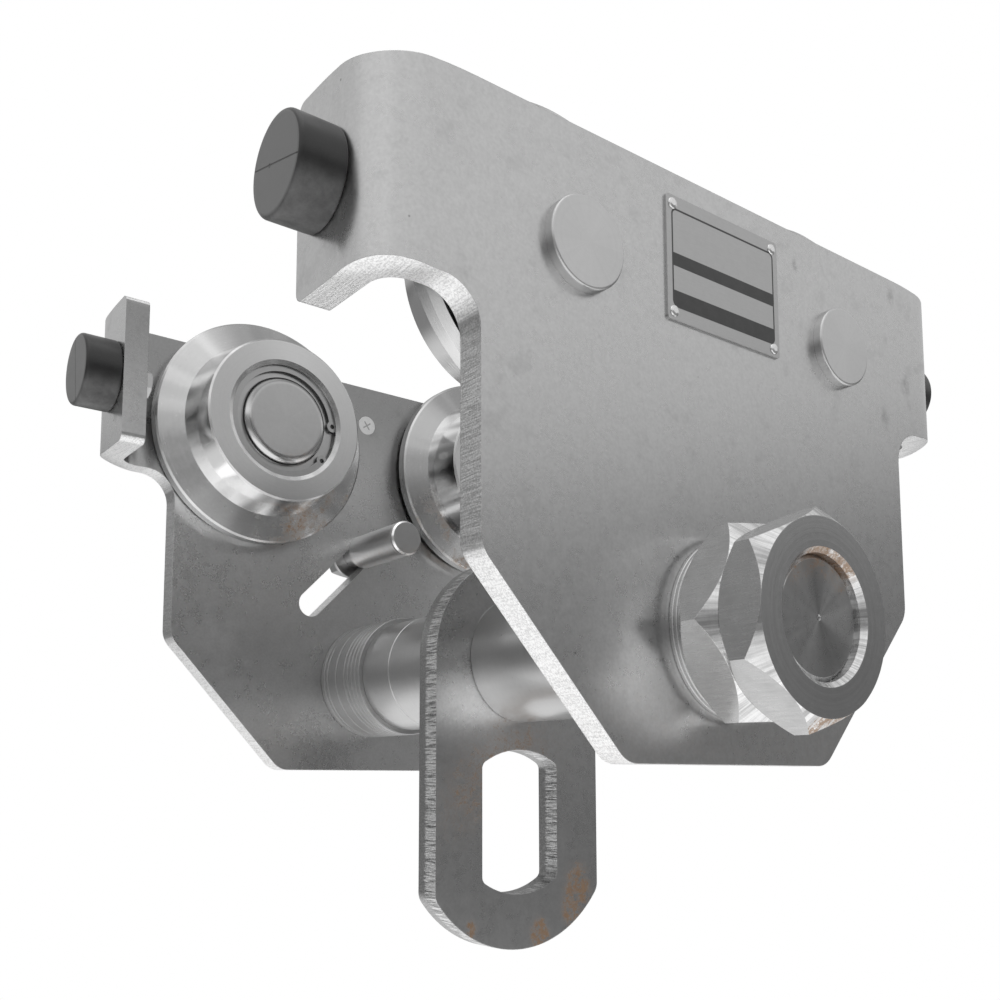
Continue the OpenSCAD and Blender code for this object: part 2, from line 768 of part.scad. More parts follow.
front_side_plate();
back_side_plate();
load_axle();
hanger_plate();
axle_nut(-1, 0, inner_nut_turn);  // front_inner_nut
axle_nut(-1, 1, lock_nut_turn);  // front_lock_nut
axle_nut(1, 0, inner_nut_turn);  // back_inner_nut
axle_nut(1, 1, lock_nut_turn);  // back_lock_nut
nut_washers(-1);  // front_nut_washers
nut_washers(1);  // back_nut_washers
stack_washers(-1, front_washers);  // front_stack_washers
stack_washers(1, back_washers);  // back_stack_washers
spacer(-1, front_end - short_spacer_l, long_spacer_l);  // front_long_spacer
spacer(-1, front_end, short_spacer_l);  // front_short_spacer
spacer(1, back_end - short_spacer_l, long_spacer_l);  // back_long_spacer
spacer(1, back_end, short_spacer_l);  // back_short_spacer
wheel(-1, -1);  // wheel_front_left
wheel(-1, 1);  // wheel_front_right
wheel(1, -1);  // wheel_back_left
wheel(1, 1);  // wheel_back_right
wheel_pin(-1, -1);  // wheel_pin_front_left
wheel_pin(-1, 1);  // wheel_pin_front_right
wheel_pin(1, -1);  // wheel_pin_back_left
wheel_pin(1, 1);  // wheel_pin_back_right
outer_ring(-1, -1);  // outer_ring_front_left
outer_ring(-1, 1);  // outer_ring_front_right
outer_ring(1, -1);  // outer_ring_back_left
outer_ring(1, 1);  // outer_ring_back_right
inner_ring(-1, -1);  // inner_ring_front_left
inner_ring(-1, 1);  // inner_ring_front_right
inner_ring(1, -1);  // inner_ring_back_left
inner_ring(1, 1);  // inner_ring_back_right
ball_cage(-1, -1);  // ball_cage_front_left
ball_cage(-1, 1);  // ball_cage_front_right
ball_cage(1, -1);  // ball_cage_back_left
ball_cage(1, 1);  // ball_cage_back_right
circlip(-1, -1, 90);  // circlip_front_left
circlip(-1, 1, 200);  // circlip_front_right
circlip(1, -1, -16.5);  // circlip_back_left
circlip(1, 1, 60);  // circlip_back_right
dust_cap(-1, -1);  // dust_cap_front_left
dust_cap(-1, 1);  // dust_cap_front_right
dust_cap(1, -1);  // dust_cap_back_left
dust_cap(1, 1);  // dust_cap_back_right
pin_spacers();
pin_circlips();
bumper(-1, -1);  // bumper_front_left
bumper(-1, 1);  // bumper_front_right
bumper(1, -1);  // bumper_back_left
bumper(1, 1);  // bumper_back_right
bumper_bolts();
bumper_washers();
guide_pin();
guide_pin_washer();
guide_pin_nut();
nameplate();
nameplate_rivets();
hole_plug();
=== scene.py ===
import json
import math

import bpy
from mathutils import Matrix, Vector


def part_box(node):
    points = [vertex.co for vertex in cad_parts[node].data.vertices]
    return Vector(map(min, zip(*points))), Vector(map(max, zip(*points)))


# Finishes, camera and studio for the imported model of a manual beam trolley. Lengths are in metres.

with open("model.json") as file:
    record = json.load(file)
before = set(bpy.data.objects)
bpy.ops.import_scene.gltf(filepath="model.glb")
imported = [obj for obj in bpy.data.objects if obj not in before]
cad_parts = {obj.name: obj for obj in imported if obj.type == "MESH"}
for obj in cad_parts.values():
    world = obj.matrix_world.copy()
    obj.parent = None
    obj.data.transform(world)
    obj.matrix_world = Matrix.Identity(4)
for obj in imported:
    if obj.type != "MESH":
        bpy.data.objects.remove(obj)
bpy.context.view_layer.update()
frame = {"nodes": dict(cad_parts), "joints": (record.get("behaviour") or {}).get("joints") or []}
NODES = frame["nodes"]
MM = 0.001

# Places that the finishes line up with: boxes and joints from the frame, and a few of the part's own sizes
PLATE_LOW, PLATE_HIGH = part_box("front_side_plate")
PLATE_T = 12 * MM
PLATE_INNER = abs(PLATE_LOW.y) - PLATE_T
EAR_BEND = 22 * MM
EAR_START_X = PLATE_HIGH.x - EAR_BEND
HANGER_LOW, HANGER_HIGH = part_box("hanger_plate")
HANGER_T = HANGER_HIGH.y - HANGER_LOW.y
JOINTS = {joint["name"]: joint for joint in frame["joints"]}
AXLE_AT = (0.0, JOINTS["hanger_swing"]["pos_m"][2])
WHEEL_PIVOT = JOINTS["wheel_spin_front_left"]["pos_m"]
WHEEL_AT = (abs(WHEEL_PIVOT[0]), WHEEL_PIVOT[2])
TAG_LOW, TAG_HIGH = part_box("nameplate")
BUMPER_LOW, BUMPER_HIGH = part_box("bumper_front_left")
PLUG_LOW, PLUG_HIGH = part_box("hole_plug")
GUIDE_LOW, GUIDE_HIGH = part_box("guide_pin")
HOOK_SLOT_DROP = 79.6 * MM
HOOK_SLOT_AT = (0.0, AXLE_AT[1] - HOOK_SLOT_DROP)

# Radii of turned pieces where their finish changes
COUNTERSINK_R = 30 * MM
NUT_FOOT_R = 36 * MM
TREAD_R = (43 * MM, 54 * MM)
FLANGE_CONE_R = 47 * MM
CAP_SHOULDER_R = (18 * MM, 25 * MM)
AXLE_RUST_R = 16 * MM

# Marks, each with x, z and size in mm. The rust patches' z starts at the hanger plate's lower end.
HAND_MARKS = ((49, 80, 5), (124, 87, 7), (134, 44, 8), (115, 24, 8))
RUST_PATCHES = ((37, 27, 12), (33, 18, 9), (12, 6, 8), (-30, 12, 4))

# Rust: size of its specks, its two colours, and where it starts along Y at the lock nuts' foot
RUST_SPECK = 0.8 * MM
DARK_RUST = (0.24, 0.115, 0.04, 1)
PALE_RUST = (0.44, 0.24, 0.09, 1)
NUT_RUST_Y = 178 * MM

# Middle and reach of the painted reflection of the nuts on the front plate: a brighter patch for the light
# they throw onto it
NUT_REFLECTION_AT = (-58 * MM, AXLE_AT[1] - 15 * MM)
NUT_REFLECTION_R = 15 * MM

# Lean of the parting lines across the bumpers' ends
FRONT_LEAN = math.radians(14.7)
BACK_LEAN = math.radians(82)

# Samples of the shader that rounds the edges
BEVEL_SAMPLES = 4


# Node building

class Value:
    """A number that a node gives, with arithmetic that adds Math nodes."""

    def __init__(self, graph, socket):
        self.graph = graph
        self.socket = socket

    def __add__(self, other):
        return self.graph.math("ADD", self, other)

    def __sub__(self, other):
        return self.graph.math("SUBTRACT", self, other)

    def __rsub__(self, other):
        return self.graph.math("SUBTRACT", other, self)

    def __mul__(self, other):
        return self.graph.math("MULTIPLY", self, other)

    def __truediv__(self, other):
        return self.graph.math("DIVIDE", self, other)

    def __abs__(self):
        return self.graph.math("ABSOLUTE", self)

    def max(self, other):
        return self.graph.math("MAXIMUM", self, other)

    def ramp(self, start, end, low=0.0, high=1.0):
        """low up to start, high from end on, and smooth in between."""
        made = self.graph.node("ShaderNodeMapRange", interpolation_type="SMOOTHSTEP")
        ends = {"Value": self, "From Min": start, "From Max": end, "To Min": low, "To Max": high}
        for key, value in ends.items():
            self.graph.link(value, made.inputs[key])
        return Value(self.graph, made.outputs["Result"])

    def under(self, limit, soft):
        """1 where the value is under the limit, 0 over it."""
        return self.ramp(limit - soft, limit + soft, 1.0, 0.0)

    def over(self, limit, soft):
        """1 where the value is over the limit, 0 under it."""
        return self.ramp(limit - soft, limit + soft)


class Graph:
    """A node tree, with short ways to add nodes."""

    def __init__(self, tree):
        self.tree = tree

    def node(self, kind, **settings):
        made = self.tree.nodes.new(kind)
        for key, value in settings.items():
            setattr(made, key, value)
        return made

    def link(self, value, socket):
        """Joins a socket to another, or sets it to a plain value."""
        if isinstance(value, Value):
            value = value.socket
        if isinstance(value, bpy.types.NodeSocket):
            self.tree.links.new(value, socket)
        else:
            socket.default_value = value

    def math(self, operation, *values):
        made = self.node("ShaderNodeMath", operation=operation)
        for value, socket in zip(values, made.inputs):
            self.link(value, socket)
        return Value(self, made.outputs[0])

    def split(self, vector):
        made = self.node("ShaderNodeSeparateXYZ")
        self.link(vector, made.inputs[0])
        return [Value(self, output) for output in made.outputs]

    def join(self, *values):
        made = self.node("ShaderNodeCombineXYZ")
        for value, socket in zip(values, made.inputs):
            self.link(value, socket)
        return made.outputs[0]

    def mix(self, factor, below, above):
        """Blends two colours or two shaders."""
        if getattr(below, "type", "") == "SHADER":
            made = self.node("ShaderNodeMixShader")
            sockets = (made.inputs[0], made.inputs[1], made.inputs[2])
            result = made.outputs[0]
        else:
            made = self.node("ShaderNodeMix", data_type="RGBA")
            sockets = (made.inputs[0], made.inputs[6], made.inputs[7])
            result = made.outputs[2]
        for value, socket in zip((factor, below, above), sockets):
            self.link(value, socket)
        return result


class Finish(Graph):
    """A surface's material under construction.

    Coordinates are the trolley's own at rest, and ride with each piece.
    """

    def __init__(self, name, metallic=1.0, anisotropic=0.0, bevel=0.0):
        self.material = bpy.data.materials.new(name)
        self.material.use_nodes = True
        super().__init__(self.material.node_tree)
        self.surface = self.tree.nodes["Principled BSDF"]
        self.surface.inputs["Metallic"].default_value = metallic
        self.surface.inputs["Anisotropic"].default_value = anisotropic
        coordinates = self.node("ShaderNodeTexCoord")
        self.place = coordinates.outputs["Object"]
        self.x, self.y, self.z = self.split(self.place)
        normal = self.split(coordinates.outputs["Normal"])
        self.upward = normal[2]
        self.facing_x, self.facing_y, self.facing_z = [abs(part) for part in normal]
        self.tone = None
        self.roughness = 0.4
        self.normal = None
        if bevel:
            made = self.node("ShaderNodeBevel", samples=BEVEL_SAMPLES)
            made.inputs["Radius"].default_value = bevel
            self.normal = made.outputs[0]

    def noise(self, size, detail=2.0, roughness=0.5, place=None):
        """Noise from 0 to 1 with features of about this size: one number, or one for each axis."""
        if isinstance(size, tuple):
            place = self.join(self.x / size[0], self.y / size[1], self.z / size[2])
            size = 1.0
        made = self.node("ShaderNodeTexNoise")
        self.link(place or self.place, made.inputs["Vector"])
        made.inputs["Scale"].default_value = 1.0 / size
        made.inputs["Detail"].default_value = detail
        made.inputs["Roughness"].default_value = roughness
        return Value(self, made.outputs["Fac"])

    def about(self, centre):
        """Radius about an axle along Y, and the direction from it. The wheels' axles mirror each other."""
        dx = (abs(self.x) if centre[0] else self.x) - centre[0]
        dz = self.z - centre[1]
        radius = self.math("SQRT", dx * dx + dz * dz)
        return radius, dx / radius, dz / radius

    def bump(self, height, depth):
        """Adds relief: height runs from 0 to 1 over this depth."""
        made = self.node("ShaderNodeBump")
        made.inputs["Distance"].default_value = depth
        self.link(height, made.inputs["Height"])
        if self.normal is not None:
            self.link(self.normal, made.inputs["Normal"])
        self.normal = made.outputs[0]

    def turned_about_y(self):
        """Runs the grain of the finish round the piece's own axis."""
        made = self.node("ShaderNodeTangent", direction_type="RADIAL", axis="Y")
        self.link(made.outputs[0], self.surface.inputs["Tangent"])

    def specks(self, size, share, radius):
        """Small round specks of this radius, in this share of the cells of this size."""
        made = self.node("ShaderNodeTexVoronoi")
        self.link(self.place, made.inputs["Vector"])
        made.inputs["Scale"].default_value = 1.0 / size
        chosen = self.split(made.outputs["Color"])[0]
        near = Value(self, made.outputs["Distance"]).under(radius / size, 0.4 * radius / size)
        return near * chosen.under(share, 0.002)

    def rust(self, where):
        """Specks of rust where the mask is above 0, denser as it nears 1, with a bloom between."""
        speck = self.noise(RUST_SPECK, 4.0, 0.75) * 0.55 + self.noise(5 * RUST_SPECK, 3.0, 0.6) * 0.45
        stain = (speck + where * 0.26).ramp(0.60, 0.80) * where.ramp(0.0, 0.3)
        bloom = where * self.noise(4 * RUST_SPECK, 4.0, 0.75).ramp(0.35, 0.65) * 0.5
        stain = stain.max(bloom) * 0.75
        brown = self.mix(self.noise(2 * RUST_SPECK, 3.0), DARK_RUST, PALE_RUST)
        self.tone = self.mix(stain, self.tone, brown)
        self.roughness = self.blend(stain, self.roughness, 0.6)
        self.link(self.math("SUBTRACT", 1.0, stain * 0.7), self.surface.inputs["Metallic"])

    def blend(self, factor, below, above):
        """Blends two numbers: below where the factor is 0, above where it is 1."""
        return self.math("MULTIPLY_ADD", factor, self.math("SUBTRACT", above, below), below)

    def grey(self, value):
        """Sets the tone to a neutral grey of this value."""
        made = self.node("ShaderNodeCombineColor")
        for socket in made.inputs:
            self.link(value, socket)
        self.tone = made.outputs[0]

    def done(self):
        """Joins what was made to the surface and gives the material."""
        self.link(self.tone, self.surface.inputs["Base Color"])
        self.link(self.roughness, self.surface.inputs["Roughness"])
        if self.normal is not None:
            self.link(self.normal, self.surface.inputs["Normal"])
        return self.material


# Finishes

def sheet(s, tone, edge, ticks, cut_light):
    """Satin stainless sheet.

    The mask edge says where its cut edges are, and ticks how deeply they are striated.
    """
    cloud = s.noise(40 * MM, 3.0, 0.6)
    mottle = s.noise(5 * MM, 2.0, 0.7)
    grain = s.noise(1.3 * MM, 1.0, 0.5)
    smudge = s.noise(16 * MM, 3.0, 0.7).over(0.62, 0.06)
    face = cloud * 0.12 + mottle * 0.16 + grain * 0.20 + 0.76
    face = face * (1.0 - smudge * 0.05) * (1.0 - s.specks(22 * MM, 0.4, 0.5 * MM) * 0.55)
    ripple = s.noise((0.75 * MM, 12 * MM, 0.75 * MM), 2.0, 0.6).ramp(0.36, 0.64)
    speckle = s.noise(0.8 * MM, 3.0, 0.8)
    sparkle = s.noise(0.8 * MM, 2.0, 0.8).ramp(0.42, 0.62)
    cut_tone = ((ripple - 0.5) * ticks * 0.7 + sparkle * 0.28 + 0.72) * cut_light
    # Painted shade: cut edges a fifth darker where they face up
    cut_tone = cut_tone * (1.0 - s.upward.over(0.4, 0.2) * 0.2)  # facing up, where the sky is brightest
    s.grey(s.blend(edge, face * tone, cut_tone))
    s.roughness = s.blend(edge, cloud * 0.06 + mottle * 0.06 + smudge * 0.04 + 0.22, 0.42)
    s.bump(s.blend(edge, grain * 0.06 + mottle * 0.05, ripple * ticks + speckle * 0.6), 0.2 * MM)


def painted_nut_reflection(s):
    """Painted reflection: a brighter patch of the front plate, beside the nuts and a little below them, for
    the light that they throw onto it.
    """
    dx = s.x - NUT_REFLECTION_AT[0]
    dz = (s.z - NUT_REFLECTION_AT[1]) * 0.85
    return s.math("SQRT", dx * dx + dz * dz).under(NUT_REFLECTION_R, NUT_REFLECTION_R)


def handled(s):
    """Faint darker marks on the front plate's outer face, towards its right end."""
    marks = 0.0
    for x, z, size in HAND_MARKS:
        dx = (s.x - x * MM) * 1.6
        dz = s.z - z * MM
        marks = s.math("SQRT", dx * dx + dz * dz).under(0.5 * size * MM, 0.5 * size * MM).max(marks)
    return marks * s.noise(4 * MM, 3.0, 0.7).ramp(0.3, 0.6)


def side_plate():
    """Satin faces, bright sloping cut edges, duller upright ones, and a little rust at the lower end."""
    s = Finish("side_plate_steel", bevel=0.5 * MM)
    sloping = s.facing_z.over(0.35, 0.1)
    before_ears = abs(s.x).under(EAR_START_X, 0.3 * MM)
    upright = s.facing_y.under(0.5, 0.1) * before_ears * s.facing_z.under(0.35, 0.1)
    inside = abs(s.y).under(PLATE_INNER + 1.1 * MM, 0.3 * MM) * s.facing_y.over(0.8, 0.1)
    # Painted shade between the plates: their inner faces darker towards the top. Painted light: the inner
    # faces brighter towards their lower ends.
    ends = abs(s.x).ramp(20 * MM, 110 * MM) * s.z.under(20 * MM, 30 * MM)
    tone = (1.0 - inside * (s.z.ramp(0.0, 90 * MM, 0.0, 0.45) - ends * 0.35)) * 0.585
    outside = s.y.under(-PLATE_INNER - 10 * MM, 1 * MM) * s.facing_y.over(0.8, 0.1)
    # Painted reflection of the nuts: the outer face brighter in a patch beside them
    tone = tone * (painted_nut_reflection(s) * outside * 0.30 + 1.0) * (1.0 - handled(s) * outside * 0.3)
    ticks = upright * s.y.under(0.0, 1 * MM) * 0.1 + 0.2
    sheet(s, tone, sloping.max(upright), ticks, 1.07 - upright * 0.34)
    s.rust(s.z.under(PLATE_LOW.z + 30 * MM, 20 * MM) * (1.0 - inside) * 0.12)
    return s.done()


def painted_spacer_reflection(s):
    """Painted reflection: a brighter zone of the hanger plate, beside the spacers, for the light that they
    throw onto it.
    """
    radius, cos, sin = s.about(AXLE_AT)
    return radius.over(30 * MM, 5 * MM) * radius.under(52 * MM, 14 * MM) * cos.under(-0.3, 0.5)


def hanger_plate():
    """Cut edges with deep ticks from the front face to a ragged border, and patches of rust."""
    s = Finish("hanger_steel", bevel=0.5 * MM)
    border = HANGER_LOW.y + 0.55 * HANGER_T
    ragged = s.y - s.noise((0.75 * MM, 12 * MM, 0.75 * MM), 2.0, 0.6) * 5 * MM
    front = ragged.under(border - 2 * MM, 1.2 * MM)
    # Painted shade: the hanger plate darker towards its lower end and paler towards the axle
    tone = s.z.ramp(HANGER_LOW.z, AXLE_AT[1], 0.42, 0.61)
    # Painted reflection of the spacers: brighter beside them, below the axle
    tone = tone * (s.z.under(AXLE_AT[1], 8 * MM) * painted_spacer_reflection(s) * 0.5 + 1.0)
    sheet(s, tone, s.facing_y.under(0.5, 0.1), front * 1.1, front * 0.20 + 0.47)
    patch = 0.0
    for x, z, size in RUST_PATCHES:
        dx = s.x - x * MM
        dz = (s.z - (HANGER_LOW.z + z * MM)) * 0.75
        spread = s.math("SQRT", dx * dx + dz * dz)
        patch = spread.under(0.75 * size * MM, 0.35 * size * MM).max(patch)
    patch = patch * s.noise(3 * MM, 4.0, 0.7).ramp(0.32, 0.50)
    radius, cos, sin = s.about(HOOK_SLOT_AT)
    by_slot = radius.under(50 * MM, 12 * MM) * sin.over(-0.1, 0.5) * cos.under(0.5, 0.5)
    s.rust(patch.max(by_slot * 0.55) * s.facing_y.over(0.5, 0.2))
    return s.done()


def turned(name, centre, anisotropic=0.6, pitch=0.9 * MM, depth=0.012 * MM, bevel=0.3 * MM):
    """Starts a turned finish: rings about the axis, and streaks that fan out from it."""
    s = Finish(name, anisotropic=anisotropic, bevel=bevel)
    s.turned_about_y()
    s.radius, s.cos, s.sin = s.about(centre)
    s.fan = s.noise(0.16, 3.0, 0.65, place=s.join(s.cos, s.y * 3.0, s.sin))
    s.ring = s.noise(pitch, 2.0, 0.6, place=s.join(s.radius, s.y, 0.0))
    s.wear = s.noise(3 * MM, 3.0, 0.65)
    s.bump(s.ring, depth)
    return s


def plain_turned(name, centre, tone, roughness, **settings):
    """Turned steel of one tone."""
    s = turned(name, centre, **settings)
    s.grey((s.fan * 0.12 + s.ring * 0.08 + s.wear * 0.10 + 0.85) * tone)
    s.roughness = s.ring * 0.06 + s.wear * 0.08 + (roughness - 0.07)
    return s.done()


def stack_washer():
    """Adjusting washers, whose chamfers are darker."""
    s = turned("stack_washer_steel", AXLE_AT, bevel=0.15 * MM)
    corner = s.facing_y.over(0.2, 0.1) * s.facing_y.under(0.93, 0.04)
    s.grey((s.fan * 0.14 + s.wear * 0.12 + 0.86) * (0.54 - corner * 0.22))
    s.roughness = s.wear * 0.08 + 0.32
    return s.done()


def wheel():
    """Polished tread with broad painted reflection streaks and a painted glint at the lower left, satin
    face and flange with painted light at the right and painted shade at the top, and rust low on the
    flange.
    """
    s = turned("wheel_steel", WHEEL_AT, anisotropic=0.75)
    level = s.facing_y.under(0.4, 0.05)
    tread = level * s.radius.over(TREAD_R[0], 0.5 * MM) * s.radius.under(TREAD_R[1], 1 * MM)
    face = s.facing_y.over(0.97, 0.01)
    # Painted reflection streaks on tread and cone, a painted glint on the tread's lower left, and painted
    # light on its lower half
    streak = s.noise(0.34, 1.5, 0.5, place=s.join(s.cos, s.y * 3.0, s.sin)).ramp(0.40, 0.60)
    lit_lower_half = s.sin.under(0.3, 0.6)
    streak = streak.max(tread * s.cos.over(0.6, 0.12) * s.sin.under(-0.25, 0.2))
    # Painted light on the right of the cone and flange, and painted shade at their top
    side_light = s.cos.over(0.5, 0.3) * 0.18 - s.sin.over(0.75, 0.25) * 0.18
    cone_tone = face * 0.12 + (1.0 - face) * side_light + 0.54
    tone = s.blend(tread, cone_tone, s.blend(streak, 0.42, 0.90) + lit_lower_half * 0.08)
    fan = (streak - 0.5) * (1.0 - face) * 0.22
    s.grey((s.ring * 0.10 + s.wear * 0.10 + fan + 0.90) * tone)
    rough = s.blend(face, s.blend(tread, 0.26, 0.12), 0.33)
    s.roughness = rough + s.wear * 0.06 + s.ring * 0.04 - 0.05
    cone = s.radius.over(FLANGE_CONE_R, 1 * MM) * s.facing_y.over(0.3, 0.1)
    low = s.sin.under(-0.45, 0.25) * s.cos.under(0.0, 0.3)
    s.rust(cone * low * s.noise(14 * MM).over(0.48, 0.08) * 0.6)
    return s.done()


def axle():
    """Turned end faces with light and dark sectors, a centre hole, and rust at the upper rim."""
    s = turned("axle_steel", AXLE_AT, anisotropic=0.8, pitch=0.5 * MM, depth=0.008 * MM)
    end = s.facing_y.over(0.9, 0.05)
    sector = s.noise(0.6, 2.0, 0.5, place=s.join(s.cos, 0.0, s.sin)).ramp(0.3, 0.7)
    tone = s.blend(end, 0.56, s.blend(sector, 0.34, 0.46))
    smudge = s.noise(9 * MM, 3.0, 0.7)
    centre_hole = s.radius.ramp(0.6 * MM, 1.4 * MM, 0.3, 1.0)
    s.grey((s.fan * 0.08 + smudge * 0.24 + s.wear * 0.08 + 0.80) * tone * centre_hole)
    s.roughness = s.wear * 0.08 + 0.24
    s.rust(s.radius.over(AXLE_RUST_R, 4 * MM) * s.sin.over(0.6, 0.2) * 0.5)
    return s.done()


def nut():
    """Brushed flats, turned faces, bright streaked bevels, and rust in the countersink and at the foot."""
    s = turned("nut_steel", AXLE_AT, anisotropic=0.55, pitch=0.5 * MM, depth=0.01 * MM)
    face = s.facing_y.over(0.95, 0.01)
    flat = s.facing_y.under(0.2, 0.05) * s.radius.over(COUNTERSINK_R, 1 * MM)
    bevel = (1.0 - face) * (1.0 - flat)
    streak = s.fan.ramp(0.37, 0.63)
    fine = s.noise(0.045, 2.0, 0.7, place=s.join(s.cos, s.y * 2.0, s.sin)).ramp(0.35, 0.65)
    brushed = s.noise((1.1 * MM, 10 * MM, 1.1 * MM), 3.0, 0.7).ramp(0.3, 0.7)
    rings = s.ring.ramp(0.3, 0.7)
    blotch = s.noise(8 * MM, 3.0, 0.6)
    bevel_tone = s.blend(streak * 0.6 + fine * 0.4, 0.42, 0.96)
    tone = s.blend(bevel, s.blend(face, 0.50, 0.52), bevel_tone)
    grain = s.blend(flat, rings * 0.09 + s.wear * 0.10 + 0.90, brushed * 0.14 + blotch * 0.30 + 0.78)
    s.grey(grain * tone)
    s.roughness = s.blend(flat, s.wear * 0.08 + 0.19, brushed * 0.10 + blotch * 0.10 + 0.14)
    countersink = s.radius.under(COUNTERSINK_R, 0.5 * MM) * (1.0 - face)
    arc = s.sin.over(0.5, 0.25) * s.cos.over(-0.4, 0.2) * s.cos.under(0.8, 0.15)
    sink = countersink * arc * s.noise(0.3, 2.0, 0.6, place=s.join(s.cos, 0.0, s.sin)).ramp(0.25, 0.55)
    foot = bevel * s.radius.over(NUT_FOOT_R, 1 * MM) * s.sin.under(-0.85, 0.08) * s.cos.over(-0.2, 0.08)
    foot = foot * abs(s.y).over(NUT_RUST_Y, 2 * MM) * fine.over(0.2, 0.3)
    s.rust(sink.max(foot))
    return s.done()


def simple_steel(name, tone, roughness):
    """Steel of one tone for small pieces."""
    s = Finish(name, bevel=0.25 * MM)
    wear = s.noise(2.5 * MM, 3.0, 0.6)
    grain = s.noise(0.5 * MM, 2.0, 0.6)
    s.grey((wear * 0.14 + grain * 0.06 + 0.90) * tone)
    s.roughness = wear * 0.12 + (roughness - 0.06)
    s.bump(grain, 0.006 * MM)
    return s.done()


def circlip():
    """Spring steel, dark on its rims and in the holes of its eyes."""
    s = Finish("circlip_steel", bevel=0.15 * MM)
    wear = s.noise(2.5 * MM, 3.0, 0.6)
    s.grey((wear * 0.2 + 0.86) * s.facing_y.ramp(0.3, 0.8, 0.12, 0.46))
    s.roughness = wear * 0.1 + 0.28
    return s.done()


def dust_cap():
    """Pressed cap: a satin middle, and a polished shoulder with painted shade above and rust below."""
    s = turned("dust_cap_steel", WHEEL_AT, anisotropic=0.2, depth=0.004 * MM)
    shoulder = s.facing_y.under(0.96, 0.03)
    # Painted shade: the shoulder darker at its top
    painted_upper_shade = shoulder * s.radius.over(19 * MM, 2 * MM) * s.sin.over(0.3, 0.3)
    tone = s.blend(shoulder, 0.49, 0.66) * (1.0 - painted_upper_shade * 0.6)
    s.grey((s.fan * 0.10 + s.wear * 0.14 + 0.88) * tone)
    s.roughness = s.blend(shoulder, 0.27, 0.15) + s.wear * 0.06 + painted_upper_shade * 0.1
    ring = s.radius.over(CAP_SHOULDER_R[0], 2 * MM) * s.radius.under(CAP_SHOULDER_R[1], 1 * MM)
    s.rust(ring * s.sin.under(-0.7, 0.2) * s.cos.under(0.1, 0.2) * 0.3)
    return s.done()


def guide_pin():
    """Turned pin with some rust below. Its rounded end has a painted highlight at the left and painted
    shade at the right.
    """
    s = Finish("guide_pin_steel", bevel=0.3 * MM)
    wear = s.noise(3 * MM, 3.0, 0.6)
    ring = s.noise((40 * MM, 1.0 * MM, 40 * MM), 2.0, 0.6)
    end = s.facing_y.over(0.95, 0.03)
    corner = s.facing_y.over(0.2, 0.1) * (1.0 - end)
    at = (GUIDE_LOW + GUIDE_HIGH) / 2
    # Painted highlight on the left of the rounded end, painted shade on its right
    left = (s.x - at.x).under(-1 * MM, 4 * MM)
    tone = corner * (left * 0.6 - 0.35) - end * 0.20 + 0.70
    s.grey((wear * 0.12 + ring * 0.08 + 0.90) * tone)
    s.roughness = wear * 0.08 + 0.30 - corner * 0.12
    s.bump(ring, 0.004 * MM)
    s.rust((s.z - at.z).under(-5 * MM, 3 * MM) * 0.3)
    return s.done()


def rubber():
    """Moulded rubber with a parting line across the end: leaning at the front, near upright at the back."""
    s = Finish("bumper_rubber", metallic=0.0, bevel=0.5 * MM)
    middle_y = (BUMPER_LOW.y + BUMPER_HIGH.y) / 2
    middle_z = (BUMPER_LOW.z + BUMPER_HIGH.z) / 2
    u = abs(s.y) - abs(middle_y)
    u = s.blend(s.y.over(0.0, 1 * MM), u * -1.0, u)
    v = s.z - middle_z
    back = s.y.over(0.0, 1 * MM)
    across = v * s.blend(back, math.cos(FRONT_LEAN), math.cos(BACK_LEAN))
    across = across - u * s.blend(back, math.sin(FRONT_LEAN), math.sin(BACK_LEAN))
    end = s.facing_x.over(0.9, 0.05)
    parting = abs(across).under(0.28 * MM, 0.15 * MM) * end
    along = u - 4 * MM
    dot = s.math("SQRT", along * along + across * across).under(0.8 * MM, 0.3 * MM) * end
    dust = s.noise(6 * MM, 4.0, 0.65)
    grain = s.noise(0.6 * MM, 3.0, 0.7)
    low = v.under(-9 * MM, 5 * MM) * (1.0 - end)
    # The end lighter than the sides, and the sides lighter and blotchy towards the bottom
    tone = end * 0.145 + low * dust * 0.2 + dust * 0.018 + grain * 0.012 + 0.010
    s.grey(tone * (1.0 - parting.max(dot) * 0.75))
    s.roughness = dust * 0.12 + 0.25 + end * 0.1
    s.bump(grain * 0.2 + dust * 0.3 - parting, 0.15 * MM)
    return s.done()


